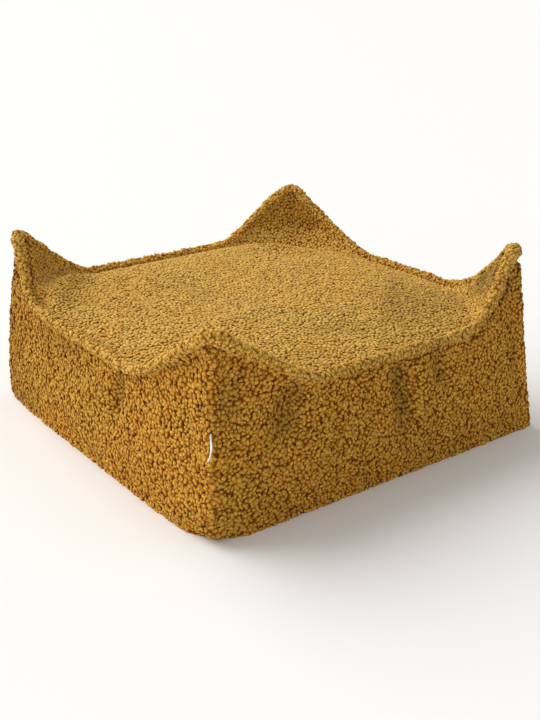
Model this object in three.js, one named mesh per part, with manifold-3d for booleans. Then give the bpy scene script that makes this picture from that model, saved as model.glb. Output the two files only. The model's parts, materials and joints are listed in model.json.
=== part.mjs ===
// A square bead-filled pouf in teddy cloth. The top seam runs up into a pointed ear at each corner
// and carries a thick roll of cloth all the way round. The origin is the middle of the base, +Z is up,
// and the front side faces -Y. The sides go round from the front: front, right, back, left.

import * as THREE from 'three';
import { mergeVertices } from 'three/addons/utils/BufferGeometryUtils.js';
import Module from 'manifold-3d';

// Driving dimensions, in millimetres
const BASE_SIDE = 600;
const RIM_HEIGHT = 188; // top of the roll at the middle of a side
const CROWN_HEIGHT = 200; // top panel at its centre
const ROLL_RADIUS = 7;
const GAP = 0.3; // between any two pieces

// The ears, each at the start of its side. The tip of the roll is so far out from the middle of the
// pouf along the diagonal, and so high, and the corner seam below it stands out past it by lip.
// The foot is so far out, and the seam bows out by waist on its way up. The whole ear stands aside of
// the diagonal, towards the next side. The bottom corner is cut back by footCut at the floor and is
// whole again at footLift. A hollow of 1 stretches the top straight across the ear, and less is scooped.
// The top dips by valley where the ear begins, or is plump there below 0, at a share of the flanks' reach.
const ears = [
  {
    tipOut: 386, tipHeight: 273, lip: 6, footOut: 417, waist: -1, aside: 3.7,
    footCut: 32, footLift: 22, hollow: 0.9, valley: 11, valleyAt: 1.05,
  },
  {
    tipOut: 372, tipHeight: 283, lip: 12, footOut: 420, waist: 0, aside: 0,
    footCut: 3, footLift: 10, hollow: 0.7, valley: 4, valleyAt: 1,
  },
  {
    tipOut: 381, tipHeight: 277, lip: 6, footOut: 418, waist: 2, aside: 0,
    footCut: 16, footLift: 14, hollow: 0.65, valley: 14, valleyAt: 1.12,
  },
  {
    tipOut: 378, tipHeight: 273, lip: 8, footOut: 416, waist: 5, aside: 0,
    footCut: 9, footLift: 20, hollow: 0.75, valley: -12, valleyAt: 1.25,
  },
];

// The roll's rise from the middle of each side to the ears at its start and end: how far from the tip
// it begins, how late it steepens, and how far it levels out again below the tip, from 0 to 1.
// The middle sits low by the sag, or high where that is below 0.
const sides = [
  {
    name: 'front', sag: -2.5,
    start: { reach: 143, late: 1.1, level: 0.05 },
    end: { reach: 127, late: 1.3, level: 1 },
  },
  {
    name: 'right', sag: 0.5,
    start: { reach: 150, late: 1.44, level: 0.2 },
    end: { reach: 190, late: 1.36, level: 0.15 },
  },
  {
    name: 'back', sag: 0,
    start: { reach: 147, late: 1.05, level: 0.6 },
    end: { reach: 133, late: 1.23, level: 0.4 },
  },
  {
    name: 'left', sag: 2,
    start: { reach: 112, late: 1.5, level: 1 },
    end: { reach: 160, late: 1.26, level: 0.4 },
  },
];

// Soft folds in the side panels: a trough has a depth above 0, a ridge below 0. Each lies at so far
// along its side from the middle and so high, is so long and wide, and leans over by so many degrees.
const folds = [
  { side: 'front', along: 22, height: 122, length: 52, width: 14, lean: -4, depth: 16 },
  { side: 'front', along: 60, height: 128, length: 44, width: 13, lean: -8, depth: -7 },
  { side: 'front', along: 93, height: 144, length: 30, width: 12, lean: -22, depth: 13 },
  { side: 'front', along: -170, height: 150, length: 44, width: 24, lean: 30, depth: 14 },
  { side: 'front', along: -255, height: 190, length: 40, width: 22, lean: 20, depth: 7 },
  { side: 'front', along: 206, height: 207, length: 54, width: 11, lean: 56, depth: 24 },
  { side: 'front', along: 252, height: 128, length: 60, width: 12, lean: -8, depth: 9 },
  { side: 'left', along: -100, height: 150, length: 34, width: 105, lean: 0, depth: 7 },
  { side: 'left', along: 83, height: 134, length: 46, width: 13, lean: 8, depth: 11 },
  { side: 'left', along: 20, height: 116, length: 62, width: 13, lean: 52, depth: -6 },
];

// And in the top panel, each at a place on it, its length turned from the X axis by so many degrees
const seatFolds = [
  { x: 158, y: 192, length: 62, width: 26, turned: -58, depth: -9 },
  { x: -228, y: 226, length: 50, width: 22, turned: 22, depth: -22 },
  { x: -267, y: 204, length: 50, width: 21, turned: 90, depth: -23 },
  { x: -262, y: 172, length: 44, width: 24, turned: 90, depth: -18 },
  { x: -256, y: 262, length: 44, width: 15, turned: 40, depth: 12 },
  { x: 262, y: -214, length: 60, width: 16, turned: 88, depth: 9 },
  { x: -115, y: 157, length: 70, width: 18, turned: -68, depth: -6 },
  { x: -73, y: 98, length: 130, width: 16, turned: -77, depth: 5 },
  { x: -237, y: 140, length: 30, width: 24, turned: 60, depth: 6 },
  { x: -82, y: -82, length: 62, width: 16, turned: -2, depth: -5 },
  { x: 6, y: -120, length: 36, width: 14, turned: -57, depth: -5 },
  { x: -4, y: -192, length: 66, width: 28, turned: -37, depth: 6 },
];

// The roll bends over a tip between two shoulders, so far to each side and so much lower and further in.
// It is thicker at the tip by a factor that fades out over the reach.
const TIP_BLUNTNESS = 10;
const TIP_FALL = 0.35;
const TIP_SWELL = 1.35;
const SWELL_REACH = 110;

// The cover beside the roll, square to it, in radii of the roll
const PANEL_DROP = 1.43; // a side panel's upper edge below the roll's centre line
const PANEL_INSET = 0.14; // and behind it
const TOP_INSET = 1.43; // the top panel's edge inside the roll's centre line
const TOP_DROP = 0.14; // and below it
const LIP_REACH = 45; // an ear's lip fades out over this
const LIP_DROP = 0.75; // further down for each millimetre of lip
const LIP_INSET = 0.3; // and further in

// Fullness of the panels
const PLAN_FULLNESS = 4; // how squarely the sides fill out between the corners
const BELLY = 10; // how far the side panels swell
const EDGE_CUT = 3; // the bottom edge is cut back so far at the floor
const EDGE_LIFT = 8; // and is whole again at this height
const CORNER_REACH = 85; // how far along the sides a cut-back bottom corner shows
const FOLD_TOP = 0.9; // the folds fade out from this share of the height up to the roll
const CROWN_FULLNESS = 4;
const FOLD_EDGE = 8; // how squarely the top panel's folds reach to its edges
const VALLEY_WIDTH = 36; // of the dip where an ear's inner face meets the seat

// The label in the front corner seam
const LABEL_HEIGHT = 31;
const LABEL_REACH = 10;
const LABEL_THICKNESS = 1.4;
const LABEL_BOTTOM = 117;
const LABEL_BOW = 3.5; // of its outer edge, towards the front side
const LABEL_SWING = 1.8; // its outer edge stands so far towards the front side at the top, and back below
const LABEL_BACK = 0.6; // and as a whole so far back
const LABEL_GAP = 0.33; // to the corner seam, which is straight from point to point
const LABEL_STEPS = 12;

// Divisions
const ACROSS = 30; // of each panel, from side to side
const UPRIGHT = 10; // up each side panel
const CORNER_CROWDING = 1.3; // above 1 moves the divisions towards the corners
const FLOOR_CROWDING = 1.2; // and towards the floor
const BELOW_FLOOR = 6; // the body is made so much deeper before its base is cut flat
const ROLL_SIDES = 8;
const HALVINGS = 30; // of the height, to find a place on the corner seam
const TANGENT_STEP = 1e-5; // share of the whole loop over which its direction is taken

const half = BASE_SIDE / 2;
const rimCentre = RIM_HEIGHT - ROLL_RADIUS;
const { lerp, smoothstep, degToRad } = THREE.MathUtils;

// The sine of half the angle between two diagonals: a distance along a diagonal to one along a side
const squarely = Math.SQRT1_2;

// A place from -1 to 1 across a panel, moved towards the nearer corner
function crowded(place) {
  return Math.sign(place) * (1 - (1 - Math.abs(place)) ** CORNER_CROWDING);
}

// How far a panel has filled out, from 0 at its edges to 1 between them
function filled(place, fullness) {
  return 1 - Math.abs(place) ** fullness;
}

// Share of an ear's height that a flank keeps at a distance from the tip
function flankShare(flank, distance) {
  const climbed = Math.max(0, 1 - distance / flank.reach) ** flank.late;
  return lerp(climbed, smoothstep(climbed, 0, 1), flank.level);
}

// Height of an ear's tip above the rim, both on the roll's centre line
function earHeight(ear) {
  return ear.tipHeight - ROLL_RADIUS - rimCentre;
}

// Directions along and out of a side, and the ears at its start and end
function frameOf(side) {
  const turn = side * Math.PI / 2;
  const [cos, sin] = [Math.round(Math.cos(turn)), Math.round(Math.sin(turn))];
  return {
    along: new THREE.Vector3(cos, sin, 0),
    outward: new THREE.Vector3(sin, -cos, 0),
    first: ears[side],
    second: ears[(side + 1) % ears.length],
  };
}

// Direction out along a corner's diagonal
function cornerOutward(corner) {
  const { along, outward } = frameOf(corner);
  return outward.clone().sub(along).normalize();
}

// A point so far along a side from its middle, so far out from the middle of the pouf and so high
function onSide(side, along, out, height) {
  const frame = frameOf(side);
  return new THREE.Vector3(0, 0, height)
    .addScaledVector(frame.along, along)
    .addScaledVector(frame.outward, out);
}

// The corners at a side's start and end, so far out along their diagonals: how far along the side
// and how far out of the middle of the pouf
function cornersOf(side, firstOut, secondOut) {
  const { first, second } = frameOf(side);
  return {
    start: { along: (first.aside - firstOut) * squarely, out: (firstOut + first.aside) * squarely },
    end: { along: (secondOut + second.aside) * squarely, out: (secondOut - second.aside) * squarely },
  };
}

// Centre line of the roll along one side, from tip to tip
function rollPoint(side, place) {
  const { first, second } = frameOf(side);
  const { sag, start, end } = sides[side];
  const tips = cornersOf(side, first.tipOut, second.tipOut);
  const share = (place + 1) / 2;
  const along = lerp(tips.start.along, tips.end.along, share);
  const straight = lerp(tips.start.out, tips.end.out, share);
  const height = rimCentre
    - sag * filled(place, PLAN_FULLNESS)
    + earHeight(first) * flankShare(start, along - tips.start.along)
    + earHeight(second) * flankShare(end, tips.end.along - along);
  return onSide(side, along, lerp(straight, half - ROLL_RADIUS, filled(place, PLAN_FULLNESS)), height);
}

// The point where the roll starts to bend over a tip: way is 1 after the tip and -1 before it
function shoulderPoint(corner, way) {
  const tip = rollPoint(corner, -1);
  const outward = cornerOutward(corner);
  const onward = new THREE.Vector3(-outward.y, outward.x, 0);
  return tip.addScaledVector(onward, way * TIP_BLUNTNESS)
    .addScaledVector(outward, -TIP_FALL * TIP_BLUNTNESS)
    .setZ(tip.z - TIP_FALL * TIP_BLUNTNESS);
}

// The whole roll as one closed loop, bent bluntly over the tips
function makeRollLoop() {
  const points = [];
  for (let side = 0; side < sides.length; side++) {
    for (let step = 0; step < ACROSS; step++) {
      points.push(rollPoint(side, crowded(2 * step / ACROSS - 1)));
    }
  }
  for (let corner = 0; corner < ears.length; corner++) {
    const tip = corner * ACROSS;
    points[tip + 1] = shoulderPoint(corner, 1);
    points[(tip - 1 + points.length) % points.length] = shoulderPoint(corner, -1);
  }
  return new THREE.CatmullRomCurve3(points, true, 'centripetal');
}

const rollLoop = makeRollLoop();

// The roll at a step along a side: its centre, the directions along it, out of it and up from it,
// its radius, and how near it is to a tip, from 0 to 1
function rollAt(side, step) {
  const share = (side + step / ACROSS) / sides.length;
  const ahead = rollLoop.getPoint(share + TANGENT_STEP);
  const centre = rollLoop.getPoint(share);
  const onward = ahead.sub(rollLoop.getPoint(share - TANGENT_STEP)).normalize();
  const outward = new THREE.Vector3(onward.y, -onward.x, 0).normalize();
  const upward = new THREE.Vector3().crossVectors(outward, onward);
  const tip = rollLoop.getPoint((side + Math.round(step / ACROSS)) / sides.length);
  const distance = centre.distanceTo(tip);
  const swell = lerp(TIP_SWELL, 1, smoothstep(distance, 0, SWELL_REACH));
  const near = 1 - smoothstep(distance, 0, LIP_REACH);
  return { centre, onward, outward, upward, near, radius: ROLL_RADIUS * swell };
}

// How far the corner seam stands out past the roll at a step along a side
function lipAt(side, step, near) {
  const { first, second } = frameOf(side);
  return near * (2 * step < ACROSS ? first.lip : second.lip);
}

// The upper edge of a side panel, below the roll
function panelEdge(side, step) {
  const { centre, outward, upward, near, radius } = rollAt(side, step);
  const lip = lipAt(side, step, near);
  return centre
    .addScaledVector(outward, lip - PANEL_INSET * radius)
    .addScaledVector(upward, -PANEL_DROP * radius - LIP_DROP * lip);
}

// The edge of the top panel, inside the roll
function topEdge(side, step) {
  const { centre, outward, upward, near, radius } = rollAt(side, step);
  return centre
    .addScaledVector(outward, -TOP_INSET * radius - LIP_INSET * lipAt(side, step, near))
    .addScaledVector(upward, -TOP_DROP * radius);
}

// How deep the folds of a side are at a place on its panel
function foldDepth(side, along, height) {
  let depth = 0;
  for (const fold of folds) {
    if (fold.side !== sides[side].name) continue;
    const lean = degToRad(fold.lean);
    const x = along - fold.along;
    const y = height - fold.height;
    const across = (x * Math.cos(lean) - y * Math.sin(lean)) / fold.width;
    const lengthwise = (x * Math.sin(lean) + y * Math.cos(lean)) / fold.length;
    depth += fold.depth * Math.exp(-(across ** 2) - lengthwise ** 2);
  }
  return depth;
}

// How far the cover is cut back from a sharp bottom edge at a height
function cutBack(cut, lift, height) {
  return cut * Math.max(0, 1 - height / lift) ** 2;
}

// A point of a side panel: step counts along it, and rise runs from 0 at the floor to 1 at the roll
function sidePoint(side, step, rise) {
  const { along, outward, first, second } = frameOf(side);
  const place = crowded(2 * step / ACROSS - 1);
  const share = (place + 1) / 2;
  const full = filled(place, PLAN_FULLNESS);
  const bow = 4 * rise;
  const feet = cornersOf(side, first.footOut + first.waist * bow, second.footOut + second.waist * bow);
  const straight = lerp(feet.start.out, feet.end.out, share);
  const swell = half + BELLY * bow * (1 - rise);
  const point = onSide(
    side,
    lerp(feet.start.along, feet.end.along, share),
    lerp(straight, swell, full),
    0,
  );
  point.lerp(panelEdge(side, step), rise);

  const distance = point.dot(along);
  const below = 1 - smoothstep(rise, FOLD_TOP, 1);
  point.addScaledVector(outward, -foldDepth(side, distance, point.z) * below * full);
  for (const [ear, way] of [[first, 1], [second, -1]]) {
    const near = Math.max(0, 1 - (half + way * distance) / CORNER_REACH) ** 2;
    const cut = cutBack(ear.footCut, ear.footLift, point.z) * near * squarely;
    point.addScaledVector(along, way * cut);
    point.addScaledVector(outward, -cut);
  }
  return point.addScaledVector(outward, -cutBack(EDGE_CUT, EDGE_LIFT, point.z) * full);
}

// How deep the folds of the top panel are at a place on it
function seatFoldDepth(x, y) {
  let depth = 0;
  for (const fold of seatFolds) {
    const turn = degToRad(fold.turned);
    const [right, behind] = [x - fold.x, y - fold.y];
    const lengthwise = (right * Math.cos(turn) + behind * Math.sin(turn)) / fold.length;
    const across = (behind * Math.cos(turn) - right * Math.sin(turn)) / fold.width;
    depth += fold.depth * Math.exp(-(across ** 2) - lengthwise ** 2);
  }
  return depth;
}

// Height of the seat over the top panel's edge, worked out from the distances to its four edges
function seatHeight(x, y) {
  let height = rimCentre - TOP_DROP * ROLL_RADIUS;
  height += (CROWN_HEIGHT - height) * filled(x, CROWN_FULLNESS) * filled(y, CROWN_FULLNESS);
  for (const [corner, ear] of ears.entries()) {
    const turned = new THREE.Vector2(x, y).rotateAround(new THREE.Vector2(), -corner * Math.PI / 2);
    const tip = ear.tipOut * squarely;
    const beside = (1 + turned.x) * tip;
    const behind = (1 + turned.y) * tip;
    const distance = (beside ** ear.hollow + behind ** ear.hollow) ** (1 / ear.hollow);
    const turn = Math.atan2(behind, beside) / (Math.PI / 2);
    const before = sides[(corner + 3) % 4].end;
    const after = sides[corner].start;
    const share = lerp(flankShare(after, distance), flankShare(before, distance), turn);
    const valley = (distance - ear.valleyAt * lerp(after.reach, before.reach, turn)) / VALLEY_WIDTH;
    height += earHeight(ear) * share;
    height -= ear.valley * Math.exp(-(valley ** 2)) * Math.sin(Math.PI * turn) ** 2;
  }
  const left = (1 - x) / 2;
  return height - sides[3].sag * left ** PLAN_FULLNESS * filled(y, PLAN_FULLNESS);
}

// The panels' second step and last but one lie at the tips, so that the roll has a ring beside it
function besideTip(step) {
  if (step === 1) return 0;
  return step === ACROSS - 1 ? ACROSS : step;
}

// A point of the top panel, column and row counted from the front left corner. The panel's outermost
// ring drops to the side panels below the roll, and the next ring lies along the roll.
function topPoint(column, row) {
  if (row === 0) return panelEdge(0, column);
  if (column === ACROSS) return panelEdge(1, row);
  if (row === ACROSS) return panelEdge(2, ACROSS - column);
  if (column === 0) return panelEdge(3, ACROSS - row);
  const innerColumn = besideTip(column);
  const innerRow = besideTip(row);
  const front = topEdge(0, innerColumn);
  const right = topEdge(1, innerRow);
  const back = topEdge(2, ACROSS - innerColumn);
  const left = topEdge(3, ACROSS - innerRow);
  if (row === 1) return front;
  if (column === ACROSS - 1) return right;
  if (row === ACROSS - 1) return back;
  if (column === 1) return left;
  const x = crowded(2 * column / ACROSS - 1);
  const y = crowded(2 * row / ACROSS - 1);
  const point = new THREE.Vector3(
    lerp(left.x, right.x, (x + 1) / 2),
    lerp(front.y, back.y, (y + 1) / 2),
    seatHeight(x, y),
  );
  point.z -= seatFoldDepth(point.x, point.y) * filled(x, FOLD_EDGE) * filled(y, FOLD_EDGE);
  return point;
}

// The cover and its filling: a divided box whose points are moved on to the panels
function makeCover() {
  const box = new THREE.BoxGeometry(ACROSS, ACROSS, UPRIGHT, ACROSS, ACROSS, UPRIGHT);
  const points = box.attributes.position;
  const step = new THREE.Vector3();
  for (let index = 0; index < points.count; index++) {
    step.fromBufferAttribute(points, index);
    const column = Math.round(step.x + ACROSS / 2);
    const row = Math.round(step.y + ACROSS / 2);
    const level = Math.round(step.z + UPRIGHT / 2);
    const point = coverPoint(column, row, level);
    points.setXYZ(index, point.x, point.y, point.z);
  }
  return box;
}

// A point of the cover, counted along the box's three edges
function coverPoint(column, row, level) {
  const last = ACROSS;
  if (level === UPRIGHT) return topPoint(column, row);
  const rise = lerp(-BELOW_FLOOR / RIM_HEIGHT, 1, (level / UPRIGHT) ** FLOOR_CROWDING);
  if (row === 0) return sidePoint(0, column, rise);
  if (column === last) return sidePoint(1, row, rise);
  if (row === last) return sidePoint(2, last - column, rise);
  if (column === 0) return sidePoint(3, last - row, rise);
  return new THREE.Vector3(
    lerp(sidePoint(3, last - row, rise).x, sidePoint(1, row, rise).x, column / last),
    lerp(sidePoint(0, column, rise).y, sidePoint(2, last - column, rise).y, row / last),
    -BELOW_FLOOR,
  );
}

const wasm = await Module();
wasm.setup();

function solidOf(geometry) {
  const bare = geometry.clone();
  bare.deleteAttribute('normal');
  bare.deleteAttribute('uv');
  const merged = mergeVertices(bare);
  return new wasm.Manifold(new wasm.Mesh({
    numProp: 3,
    vertProperties: merged.attributes.position.array,
    triVerts: new Uint32Array(merged.index.array),
  }));
}

function geometryOf(solid) {
  const mesh = solid.getMesh();
  const geometry = new THREE.BufferGeometry();
  geometry.setAttribute('position', new THREE.BufferAttribute(mesh.vertProperties, 3));
  geometry.setIndex(new THREE.BufferAttribute(mesh.triVerts, 1));
  geometry.computeVertexNormals();
  return geometry;
}

// The filled body, its base cut flat at the floor
function makeBody() {
  const floor = new THREE.BoxGeometry(2 * BASE_SIDE, 2 * BASE_SIDE, BASE_SIDE);
  floor.translate(0, 0, -BASE_SIDE / 2);
  return geometryOf(solidOf(makeCover()).subtract(solidOf(floor)));
}

// One side's length of the roll: a cylinder bent along the loop, its ends square at the tips
function makeRoll(side) {
  const roll = new THREE.CylinderGeometry(1, 1, ACROSS, ROLL_SIDES, ACROSS);
  const points = roll.attributes.position;
  for (let index = 0; index < points.count; index++) {
    const step = Math.round(points.getY(index) + ACROSS / 2);
    const { centre, onward, outward, upward, radius } = rollAt(side, step);
    const trim = { 0: GAP / 2, [ACROSS]: -GAP / 2 }[step] ?? 0;
    const point = centre
      .addScaledVector(onward, trim)
      .addScaledVector(outward, radius * points.getX(index))
      .addScaledVector(upward, radius * points.getZ(index));
    points.setXYZ(index, point.x, point.y, point.z);
  }
  return roll;
}

// A folded strip that stands out of the front corner seam on edge, its outer edge bowed and swung
function makeLabel() {
  const label = new THREE.BoxGeometry(LABEL_REACH, LABEL_THICKNESS, LABEL_HEIGHT, 1, 1, LABEL_STEPS);
  const points = label.attributes.position;
  const outward = cornerOutward(0);
  const onward = new THREE.Vector3(-outward.y, outward.x, 0);
  for (let index = 0; index < points.count; index++) {
    const share = points.getZ(index) / LABEL_HEIGHT + 0.5;
    const outer = points.getX(index) / LABEL_REACH + 0.5;
    const bow = LABEL_BOW * (1 - (2 * share - 1) ** 2) + LABEL_SWING * (2 * share - 1) - LABEL_BACK;
    const point = cornerSeamPoint(LABEL_BOTTOM + LABEL_HEIGHT * share)
      .addScaledVector(outward, LABEL_GAP + LABEL_REACH * outer)
      .addScaledVector(onward, bow * outer + points.getY(index));
    points.setXYZ(index, point.x, point.y, point.z);
  }
  return label;
}

// The point of the front corner seam at a height
function cornerSeamPoint(height) {
  let [low, high] = [0, 1];
  for (let halving = 0; halving < HALVINGS; halving++) {
    const middle = (low + high) / 2;
    if (sidePoint(0, 0, middle).z < height) low = middle;
    else high = middle;
  }
  return sidePoint(0, 0, low);
}

const teddy = new THREE.MeshStandardMaterial({ color: 0xb98d35, roughness: 0.95, metalness: 0 });
const teddyRoll = new THREE.MeshStandardMaterial({ color: 0xa97c28, roughness: 0.95, metalness: 0 });
const ribbon = new THREE.MeshStandardMaterial({ color: 0xeeeae0, roughness: 0.8, metalness: 0 });

function named(name, geometry, material) {
  const mesh = new THREE.Mesh(geometry, material);
  mesh.name = name;
  return mesh;
}

const group = new THREE.Group();
group.add(named('pouf_body', makeBody(), teddy));
for (const [side, { name }] of sides.entries()) {
  group.add(named(`roll_${name}`, makeRoll(side), teddyRoll));
}
group.add(named('side_label', makeLabel(), ribbon));

export default group;
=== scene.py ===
import json
import math

import bmesh
import bpy
import numpy as np
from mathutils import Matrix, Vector, noise
from mathutils.kdtree import KDTree

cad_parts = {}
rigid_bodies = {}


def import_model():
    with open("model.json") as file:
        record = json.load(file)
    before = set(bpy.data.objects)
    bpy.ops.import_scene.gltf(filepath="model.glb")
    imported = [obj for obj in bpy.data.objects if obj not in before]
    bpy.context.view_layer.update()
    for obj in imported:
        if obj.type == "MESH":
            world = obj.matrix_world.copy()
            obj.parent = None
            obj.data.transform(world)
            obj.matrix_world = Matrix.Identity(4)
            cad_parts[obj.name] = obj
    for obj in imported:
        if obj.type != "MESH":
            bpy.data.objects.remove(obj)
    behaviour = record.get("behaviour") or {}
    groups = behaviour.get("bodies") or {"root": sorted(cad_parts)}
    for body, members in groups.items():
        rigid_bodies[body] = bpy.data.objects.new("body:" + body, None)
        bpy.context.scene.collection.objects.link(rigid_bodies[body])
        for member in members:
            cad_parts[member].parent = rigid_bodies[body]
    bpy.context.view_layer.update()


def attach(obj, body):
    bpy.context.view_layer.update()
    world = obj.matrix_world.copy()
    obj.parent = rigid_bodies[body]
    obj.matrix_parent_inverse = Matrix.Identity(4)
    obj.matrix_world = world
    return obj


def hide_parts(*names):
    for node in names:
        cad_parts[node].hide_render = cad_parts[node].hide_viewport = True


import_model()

mm = 0.001
up = np.array([0.0, 0.0, 1.0])
diagonal = math.sqrt(0.5)  # how far a step of 1 along a diagonal goes along each axis
boxEdge = 0.9999  # forms are made from a box of -1 to 1, and places from here on are on its outside
far = 1000.0  # millimetres

# The cover's form in millimetres, as the solids have it
cover = {
    "half": 300,  # from the middle of the pouf to the middle of a side
    "rimHeight": 188,  # top of the roll at the middle of a side
    "crownHeight": 200,
    "rollRadius": 7,
    "steps": 30,  # points of the roll's line along each side
    "crowding": 1.3,  # moves them towards the corners
    "planFullness": 4,
    "belly": 10,  # at half height
    "edgeCut": 3,  # rounds the lower edge
    "edgeLift": 8,
    "cornerReach": 85,  # of the cut at a lower corner
    "foldTop": 0.9,  # of a side's height, where its folds begin to fade
    "foldEdge": 8,  # how near the roll the seat's folds reach
    "crownFullness": 4,
    "sagFade": 4,
    "valleyWidth": 36,
    "tipBluntness": 10,
    "tipFall": 0.35,
    "tipSwell": 1.35,  # of the roll, at an ear's tip
    "swellReach": 110,
    "lipReach": 45,  # of the lip that stands out below the tip
}

# Where the panels meet the roll: out of its middle and down from it, by its radius and by the ear's lip.
# The cloth comes closer under it than the solids do.
panelEdges = {
    "side": (-0.14, 1, 1.2, 0.75),
    "top": (-1.2, -0.3, 0.14, 0),
}

# Each ear stands at the start of its side, going round from the front, and a little aside of the diagonal.
# Its inside has painted shade, so much darker and more deeply coloured from one height to another,
# and the sides below it have painted shade too.
ears = [
    {"tipOut": 386, "tipHeight": 273, "lip": 6, "footOut": 417, "waist": -1, "aside": 3.7,
     "footCut": 32, "footLift": 22, "hollow": 0.9, "valley": 11, "valleyAt": 1.05,
     "inside": (0, 0, 195, 225), "outside": 0},
    {"tipOut": 372, "tipHeight": 283, "lip": 12, "footOut": 420, "waist": 0, "aside": 0,
     "footCut": 3, "footLift": 10, "hollow": 0.7, "valley": 4, "valleyAt": 1.0,
     "inside": (0.42, 0.2, 180, 220), "outside": 0},
    {"tipOut": 381, "tipHeight": 277, "lip": 6, "footOut": 418, "waist": 2, "aside": 0,
     "footCut": 16, "footLift": 14, "hollow": 0.65, "valley": 14, "valleyAt": 1.12,
     "inside": (0.35, 1, 195, 225), "outside": 0},
    {"tipOut": 378, "tipHeight": 273, "lip": 8, "footOut": 416, "waist": 5, "aside": 0,
     "footCut": 9, "footLift": 20, "hollow": 0.75, "valley": -12, "valleyAt": 1.25,
     "inside": (0.1, 0.4, 206, 222), "outside": 0.24},
]

# The roll's fall from an ear: how far it reaches, how late it steepens, how far it levels out at the top.
# The roll has so much painted shade at a side's start, middle and end, and painted light where it is below
# 0.
sides = [
    {"name": "front", "sag": -2.5, "start": (143, 1.1, 0.05), "end": (127, 1.3, 1),
     "shade": (-0.1, 0.1, 0.06)},
    {"name": "right", "sag": 0.5, "start": (150, 1.44, 0.2), "end": (190, 1.36, 0.15),
     "shade": (0.13, 0.11, 0)},
    {"name": "back", "sag": 0, "start": (147, 1.05, 0.6), "end": (133, 1.23, 0.4),
     "shade": (0, -0.2, -0.12)},
    {"name": "left", "sag": 2, "start": (112, 1.5, 1), "end": (160, 1.26, 0.4),
     "shade": (0, 0, 0)},
]

# Soft folds in the side panels: side, along, height, length, width, lean in degrees, depth
folds = [
    ("front", 22, 122, 52, 14, -4, 16),
    ("front", 60, 128, 44, 13, -8, -7),
    ("front", 93, 144, 30, 12, -22, 13),
    ("front", -170, 150, 44, 24, 30, 14),
    ("front", -255, 190, 40, 22, 20, 7),
    ("front", 206, 207, 54, 11, 56, 24),
    ("front", 252, 128, 60, 12, -8, 9),
    ("left", -100, 150, 34, 105, 0, 7),
    ("left", 83, 134, 46, 13, 8, 11),
    ("left", 20, 116, 62, 13, 52, -6),
]

# And in the top: x, y, length, width, turned from X in degrees, depth
seatFolds = [
    (158, 192, 62, 26, -58, -9),
    (-228, 226, 50, 22, 22, -22),
    (-267, 204, 50, 21, 90, -23),
    (-262, 172, 44, 24, 90, -18),
    (-256, 262, 44, 15, 40, 12),
    (262, -214, 60, 16, 88, 9),
    (-115, 157, 70, 18, -68, -6),
    (-73, 98, 130, 16, -77, 5),
    (-237, 140, 30, 24, 60, 6),
    (-82, -82, 62, 16, -2, -5),
    (6, -120, 36, 14, -57, -5),
    (-4, -192, 66, 28, -37, 6),
]

# Painted light and shade on the seat, in round patches: x, y, reach, how much darker (below 0, painted
# light)
paintedLightPatches = [
    (-268, 196, 30, -0.22),
    (140, -185, 100, 0.1),
]


def smoothStep(value, low, high):
    share = np.clip((value - low) / (high - low), 0, 1)
    return share * share * (3 - 2 * share)


def mix(first, second, share):
    return first + (second - first) * share


def filled(place, fullness):
    return 1 - np.abs(place) ** fullness


def crowded(place):
    return np.sign(place) * (1 - np.maximum(0, 1 - np.abs(place)) ** cover["crowding"])


def frameOf(side):
    turn = side * math.pi / 2
    cos, sin = round(math.cos(turn)), round(math.sin(turn))
    return np.array([cos, sin, 0.0]), np.array([sin, -cos, 0.0])


def onSide(side, along, out, height):
    onward, outward = frameOf(side)
    return along[..., None] * onward + out[..., None] * outward + height[..., None] * up


def flankShare(flank, distance):
    reach, late, level = flank
    climbed = np.maximum(0, 1 - distance / reach) ** late
    return mix(climbed, smoothStep(climbed, 0, 1), level)


rimCentre = cover["rimHeight"] - cover["rollRadius"]


def earHeight(ear):
    return ear["tipHeight"] - cover["rollRadius"] - rimCentre


def cornerOutward(corner):
    onward, outward = frameOf(corner)
    return (outward - onward) * diagonal


# The corners at a side's start and end, so far out along their diagonals: along the side, and out of it
def cornersOf(side, firstOut, secondOut):
    first, second = ears[side]["aside"], ears[(side + 1) % 4]["aside"]
    start = (first - firstOut) * diagonal, (firstOut + first) * diagonal
    return start, ((secondOut + second) * diagonal, (secondOut - second) * diagonal)


def rollPoint(side, place):
    first, second = ears[side], ears[(side + 1) % 4]
    share = (place + 1) / 2
    start, end = cornersOf(side, first["tipOut"], second["tipOut"])
    full = filled(place, cover["planFullness"])
    along = mix(start[0], end[0], share)
    out = mix(mix(start[1], end[1], share), cover["half"] - cover["rollRadius"], full)
    height = rimCentre - sides[side]["sag"] * full
    height = height + earHeight(first) * flankShare(sides[side]["start"], along - start[0])
    height = height + earHeight(second) * flankShare(sides[side]["end"], end[0] - along)
    return onSide(side, along, out, height)


def makeLoop():
    steps = cover["steps"]
    places = crowded(2 * np.arange(steps) / steps - 1)
    points = np.concatenate([rollPoint(side, places) for side in range(4)])
    fall = cover["tipFall"] * cover["tipBluntness"]
    for corner in range(4):
        tip = points[corner * steps].copy()
        outward = cornerOutward(corner)
        onward = np.array([-outward[1], outward[0], 0])
        for way in (1, -1):
            points[corner * steps + way] = tip + way * cover["tipBluntness"] * onward - fall * (outward + up)
    return points


loopPoints = makeLoop()
loopGaps = np.linalg.norm(np.roll(loopPoints, -1, 0) - loopPoints, axis=1) ** 0.5


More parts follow.
